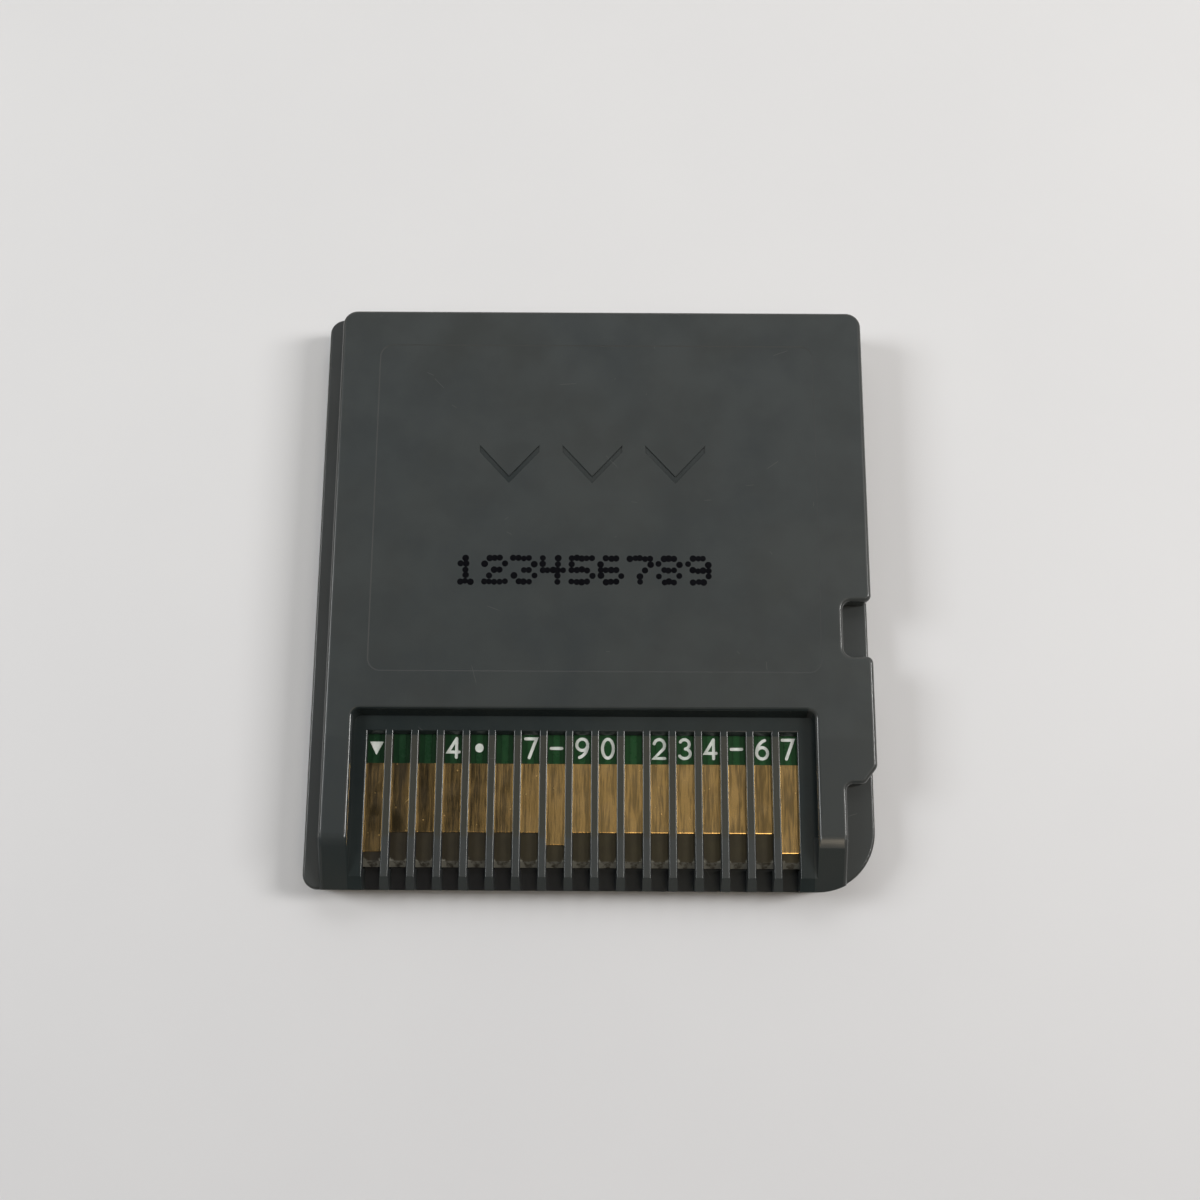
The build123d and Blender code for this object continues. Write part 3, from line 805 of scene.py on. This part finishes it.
# Chips: epoxy packages with tinned leads, soldered to the board inside the card.
# Ceramic capacitors and a thick-film resistor stand beside them.


def make_speckled(name, dark, light, metal, gloss):
    """Plain material with a fine speckle between two colours, a gloss range, and one metallic value."""
    bump_strength, bump_depth = 0.3, 0.005 * MM
    material, tree, shader, in_mm = blank_material(name)
    shader.inputs["Metallic"].default_value = metal
    grain = use_group(tree, grain_group, {"Vector": in_mm, "Grain per mm": 10.0, "Clouds per mm": 0.8})
    tree.links.new(blend_colour(tree, grain["Tone"], dark, light), shader.inputs["Base Color"])
    tree.links.new(fade(tree, grain["Height"], *NOISE_SPAN, *gloss), shader.inputs["Roughness"])
    roughen(tree, shader, grain["Height"], bump_strength, bump_depth)
    return material


dress(
    ["memory_chip", "save_chip"],
    make_speckled("chip_epoxy", (0.012, 0.012, 0.013, 1), (0.020, 0.020, 0.021, 1), 0.0, (0.45, 0.6)),
)
dress(
    ["memory_chip_leads", "save_chip_leads"],
    make_speckled("tinned_lead", (0.55, 0.55, 0.56, 1), (0.70, 0.70, 0.71, 1), 1.0, (0.25, 0.4)),
)
dress(
    [name for name in nodes if name.startswith("capacitor_")],
    make_speckled("capacitor_ceramic", (0.30, 0.19, 0.10, 1), (0.38, 0.25, 0.14, 1), 0.0, (0.35, 0.5)),
)
dress(
    ["resistor_1"],
    make_speckled("resistor_glaze", (0.02, 0.02, 0.022, 1), (0.04, 0.04, 0.045, 1), 0.0, (0.25, 0.4)),
)

# Lot print: black ink jetted on the finished back as rows of dots, one drop each.
# The drops spread and join along each row, so the numerals look like short bars.
DOT_RADIUS = 0.195 * MM
DOT_RISE = 0.006 * MM
DOT_SIDES = 14
DOT_SCATTER = 0.018 * MM
DOT_SEED = 5
DOT_LEAST, DOT_MOST = 0.9, 1.08
DOT_PITCH = 0.30 * MM
ROW_PITCH = 0.36 * MM
NUMERAL_PITCH = 1.72 * MM
PRINT_LEFT = -8.05 * MM
PRINT_FOOT = 0.33 * MM
PANEL_DEPTH = 0.02 * MM
PANEL_LEVEL = cad_box[1].z - PANEL_DEPTH
DOT_ROWS = {
    "1": ["..#..", ".##..", "..#..", "..#..", ".###."],
    "2": [".###.", "#...#", "..##.", ".#...", "#####"],
    "3": ["####.", "....#", "..##.", "#...#", ".###."],
    "4": ["#..#.", "#..#.", "#####", "...#.", "...#."],
    "5": ["#####", "#....", "####.", "....#", "####."],
    "6": [".###.", "#....", "####.", "#...#", ".###."],
    "7": ["#####", "....#", "...#.", "..#..", "..#.."],
    "8": [".###.", "#...#", ".###.", "#...#", ".###."],
    "9": [".###.", "#...#", ".####", "....#", ".###."],
}


def make_print_ink():
    """Black solvent ink with a slight sheen, thinner in places."""
    deep_black = (0.0022, 0.0023, 0.0034, 1.0)
    thin_black = (0.0040, 0.0042, 0.0056, 1.0)
    ink_shine = 0.03
    least_gloss, most_gloss = 0.45, 0.6
    material, tree, shader, in_mm = blank_material("print_ink")
    shader.inputs["Specular IOR Level"].default_value = ink_shine
    wash = use_group(tree, grain_group, {"Vector": in_mm, "Grain per mm": 8.0, "Clouds per mm": 1.5})
    gloss = fade(tree, wash["Height"], *INK_SPAN, least_gloss, most_gloss)
    tree.links.new(blend_colour(tree, wash["Tone"], deep_black, thin_black), shader.inputs["Base Color"])
    tree.links.new(gloss, shader.inputs["Roughness"])
    return material


def ink_drops(centres, radii, level):
    """Flat domes: each drop has three rings, each point its centre plus the cosine and sine of an
    angle times a share of its radius, the second ring above the first and the third raised and
    smaller. A middle point closes the bottom and another, a little higher than the last ring, the top."""
    foot, brim, shoulder, crown = -0.5, 0.35, 1.0, 1.15
    shoulder_width = 0.72
    width_and_rise = ((1.0, foot), (1.0, brim), (shoulder_width, shoulder))
    angle = np.linspace(0, 2 * np.pi, DOT_SIDES, endpoint=False)
    circle = np.stack([np.cos(angle), np.sin(angle)], 1)
    rings = []
    for share, rise in width_and_rise:
        ring = np.empty((len(centres), DOT_SIDES, 3))
        ring[..., :2] = centres[:, None, :] + share * radii[:, None, None] * circle[None]
        ring[..., 2] = level + rise * DOT_RISE
        rings.append(ring)
    middles = np.empty((len(centres), 2, 3))
    middles[..., :2] = centres[:, None, :]
    middles[..., 2] = level + np.array([foot, crown]) * DOT_RISE
    points = np.concatenate(rings + [middles], axis=1)
    around = np.arange(DOT_SIDES)
    following = (around + 1) % DOT_SIDES
    last_ring, bottom_middle = 2 * DOT_SIDES, 3 * DOT_SIDES
    wall = np.stack([around, following, DOT_SIDES + following, DOT_SIDES + around], 1)
    bottom = np.stack([following, around, np.full(DOT_SIDES, bottom_middle)], 1)
    top = np.stack([last_ring + around, last_ring + following, np.full(DOT_SIDES, bottom_middle + 1)], 1)
    starts = points.shape[1] * np.arange(len(centres))[:, None, None]
    quads = starts + np.vstack([wall, DOT_SIDES + wall])
    triangles = starts + np.vstack([bottom, top])
    return points, [quads.reshape(-1, 4), triangles.reshape(-1, 3)]


drops = np.array([
    (
        PRINT_LEFT + place * NUMERAL_PITCH + column * DOT_PITCH,
        PRINT_FOOT + (len(rows) - 1 - row) * ROW_PITCH,
    )
    for place, rows in enumerate(DOT_ROWS.values())
    for row, line in enumerate(rows)
    for column, drop in enumerate(line)
    if drop == "#"
])
draw = np.random.default_rng(DOT_SEED)
drops += draw.normal(0.0, DOT_SCATTER, drops.shape)
drop_radii = DOT_RADIUS * draw.uniform(DOT_LEAST, DOT_MOST, len(drops))
add_mesh("lot_print", *ink_drops(drops, drop_radii, PANEL_LEVEL), make_print_ink())

# Table, light and camera: a pale matt table, two soft lamps at the sides, one at the far side,
# and a dim room that is darker overhead on the left, seen from straight above the contact edge.


def make_table():
    """Pale matt table top under the card, a little uneven in tone and darker towards the near side as painted
    shade.
    """
    half_size, top = 0.6, -0.02 * MM
    pale = (0.745, 0.745, 0.752, 1.0)
    shade = (0.68, 0.68, 0.695, 1.0)
    near, far, far_light_most, cloud_share = -60.0, 60.0, 0.8, 0.2
    matt_gloss = 0.6
    material, tree, shader, in_mm = blank_material("table_top")
    cloud = use_group(tree, grain_group, {"Vector": in_mm, "Grain per mm": 3.0, "Clouds per mm": 0.05})
    along = shader_node(tree, "ShaderNodeSeparateXYZ", {0: in_mm}).outputs["Y"]
    # Painted shade: the table darkens towards the near side, in place of the shadow of the camera held above
    # it.
    table_light_share = fade(tree, along, near, far, 0.0, far_light_most)
    uneven = arithmetic(tree, "MULTIPLY_ADD", cloud["Tone"], cloud_share, table_light_share)
    tree.links.new(blend_colour(tree, uneven, shade, pale), shader.inputs["Base Color"])
    shader.inputs["Roughness"].default_value = matt_gloss
    mesh = bpy.data.meshes.new("table")
    corners = [(x * half_size, y * half_size, top) for x, y in ((-1, -1), (1, -1), (1, 1), (-1, 1))]
    mesh.from_pydata(corners, [], [(0, 1, 2, 3)])
    mesh.materials.append(material)
    table = bpy.data.objects.new("table", mesh)
    bpy.context.scene.collection.objects.link(table)


def add_lamp(name, from_zenith, towards, distance, across, along, power, colour=(1, 1, 1)):
    """Rectangular soft lamp: its angle from straight up, its compass angle from +X, its distance and size."""
    tilt, turn = math.radians(from_zenith), math.radians(towards)
    light = bpy.data.lights.new(name, "AREA")
    light.shape = "RECTANGLE"
    light.size = across
    light.size_y = along
    light.energy = power
    light.color = colour
    lamp = bpy.data.objects.new(name, light)
    lamp.rotation_euler = (0.0, tilt, turn)
    lamp.location = (
        distance * math.sin(tilt) * math.cos(turn),
        distance * math.sin(tilt) * math.sin(turn),
        distance * math.cos(tilt),
    )
    lamp.visible_camera = False
    bpy.context.scene.collection.objects.link(lamp)


def make_room():
    """Room light: dim grey, paler on the far side and the far right, dark overhead on the left and
    near side, with one warm patch on the near right. The limits are parts of a direction of length one."""
    shade = (0.026, 0.029, 0.033, 1.0)
    grey = (0.27, 0.27, 0.265, 1.0)
    pale = (0.45, 0.45, 0.445, 1.0)
    warm = (3.1, 2.64, 2.02, 1.0)
    right_share, around_share, far_right_share = 0.68, 0.72, 0.6
    overhead_start, overhead_end = (-0.075, -0.035), (0.055, 0.075)
    left_side, near_horizon, near_side = (-0.7, -0.45), (0.5, 0.8), (-0.35, -0.12)
    far_right_across, far_right_along, far_side = (0.02, 0.16), (0.14, 0.30), (0.62, 0.80)
    patch_near, patch_far = (-0.62, -0.36), (-0.22, -0.13)
    patch_left, patch_right = (0.02, 0.10), (0.30, 0.50)
    world = bpy.data.worlds.new("room")
    world.use_nodes = True
    bpy.context.scene.world = world
    tree = world.node_tree
    direction = shader_node(tree, "ShaderNodeSeparateXYZ", {
        0: shader_node(tree, "ShaderNodeTexCoord").outputs["Generated"],
    })
    across, along, up = (direction.outputs[axis] for axis in "XYZ")
    right = product(
        tree,
        fade(tree, across, *overhead_start),
        fade(tree, across, *overhead_end, 1.0, right_share),
    )
    left = fade(tree, across, *left_side, 1.0, 0.0)
    low = fade(tree, up, *near_horizon, 1.0, 0.0)
    around = product(tree, largest(tree, left, low), around_share)
    far = fade(tree, along, *near_side)
    lit = product(tree, largest(tree, right, around), far)
    far_right = product(
        tree,
        fade(tree, across, *far_right_across),
        fade(tree, along, *far_right_along, 0.0, far_right_share),
    )
    paler = largest(tree, fade(tree, along, *far_side), far_right)
    patch = product(
        tree,
        fade(tree, along, *patch_far, 1.0, 0.0),
        fade(tree, along, *patch_near),
        fade(tree, across, *patch_left),
        fade(tree, across, *patch_right, 1.0, 0.0),
    )
    surround = blend_colour(tree, lit, shade, grey)
    behind = blend_colour(tree, paler, surround, pale)
    tree.links.new(blend_colour(tree, patch, behind, warm), tree.nodes["Background"].inputs["Color"])


make_table()
make_room()
add_lamp(
    "left_lamp", from_zenith=48.0, towards=171.0, distance=0.32,
    across=0.12, along=0.10, power=0.395, colour=(0.98, 1.0, 1.01),
)
add_lamp(
    "right_lamp", from_zenith=47.0, towards=6.0, distance=0.32,
    across=0.12, along=0.06, power=0.548, colour=(1.0, 0.98, 0.96),
)
add_lamp("far_lamp", from_zenith=33.0, towards=90.0, distance=0.25, across=0.08, along=0.20, power=0.10)

CAMERA_PLACE = (0.577 * MM, -16.922 * MM, 78.565 * MM)
CAMERA_TURN = (12.196, 0.016, 0.313)
CAMERA_NEAREST = 1.0 * MM
FRAME_PIXELS = 1200
FOCAL_PIXELS = 1300
SENSOR_WIDTH = 36.0
camera_data = bpy.data.cameras.new("camera")
camera_data.sensor_width = SENSOR_WIDTH
camera_data.lens = SENSOR_WIDTH * FOCAL_PIXELS / FRAME_PIXELS
camera_data.clip_start = CAMERA_NEAREST
camera = bpy.data.objects.new("camera", camera_data)
camera.location = CAMERA_PLACE
turn = np.radians(CAMERA_TURN)
amount = float(np.linalg.norm(turn))
camera.rotation_mode = "AXIS_ANGLE"
camera.rotation_axis_angle = (amount, *(turn / amount))
bpy.context.scene.collection.objects.link(camera)
bpy.context.scene.camera = camera
bpy.context.scene.view_settings.view_transform = "Standard"
